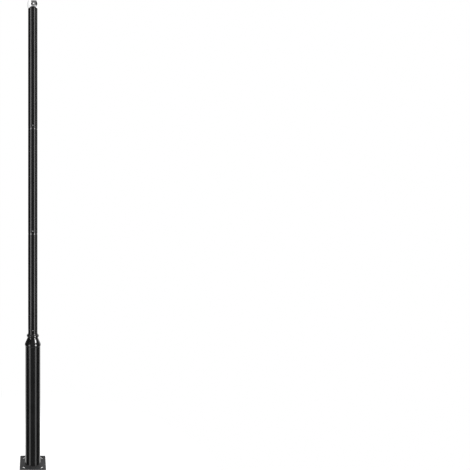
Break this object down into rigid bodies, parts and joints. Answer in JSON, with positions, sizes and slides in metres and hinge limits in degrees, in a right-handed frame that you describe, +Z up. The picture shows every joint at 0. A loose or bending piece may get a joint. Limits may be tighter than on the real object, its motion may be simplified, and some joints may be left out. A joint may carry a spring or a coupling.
{
  "type": "lamp post",
  "caption": "Tall sectional lamp post on a square slotted base plate: wide base column, ogee neck with a beaded collar, slim tubes and a chrome ball on top.",
  "frame": {"origin": "centre of the base plate's underside, at ground level", "axes": "+Z up along the post, -Y towards the front with the seen screw of each joint, +X to the right"},
  "size_m": [0.207, 0.207, 3.728],
  "materials": {
    "black_paint": "gloss",
    "grey_paint": "satin",
    "mirror_chrome": "mirror",
    "zinc_steel": "satin"
  },
  "bodies": {
    "root": {"base_plate": "grey_paint", "foot_weld": "black_paint", "base_column": "black_paint", "column_top_ring": "black_paint", "neck_spigot": "black_paint", "spigot_weld": "black_paint", "neck_casting": "black_paint", "lower_tube": "black_paint", "middle_tube": "black_paint", "top_tube": "black_paint", "ball_seat": "black_paint", "ball_finial": "mirror_chrome", "ball_stud": "zinc_steel", "ball_washer": "zinc_steel", "ball_nut": "zinc_steel", "base_screw_front": "zinc_steel", "base_screw_back": "zinc_steel", "middle_screw_front": "zinc_steel", "middle_screw_back": "zinc_steel", "upper_screw_front": "zinc_steel", "upper_screw_back": "zinc_steel"}
  },
  "joints": []
}
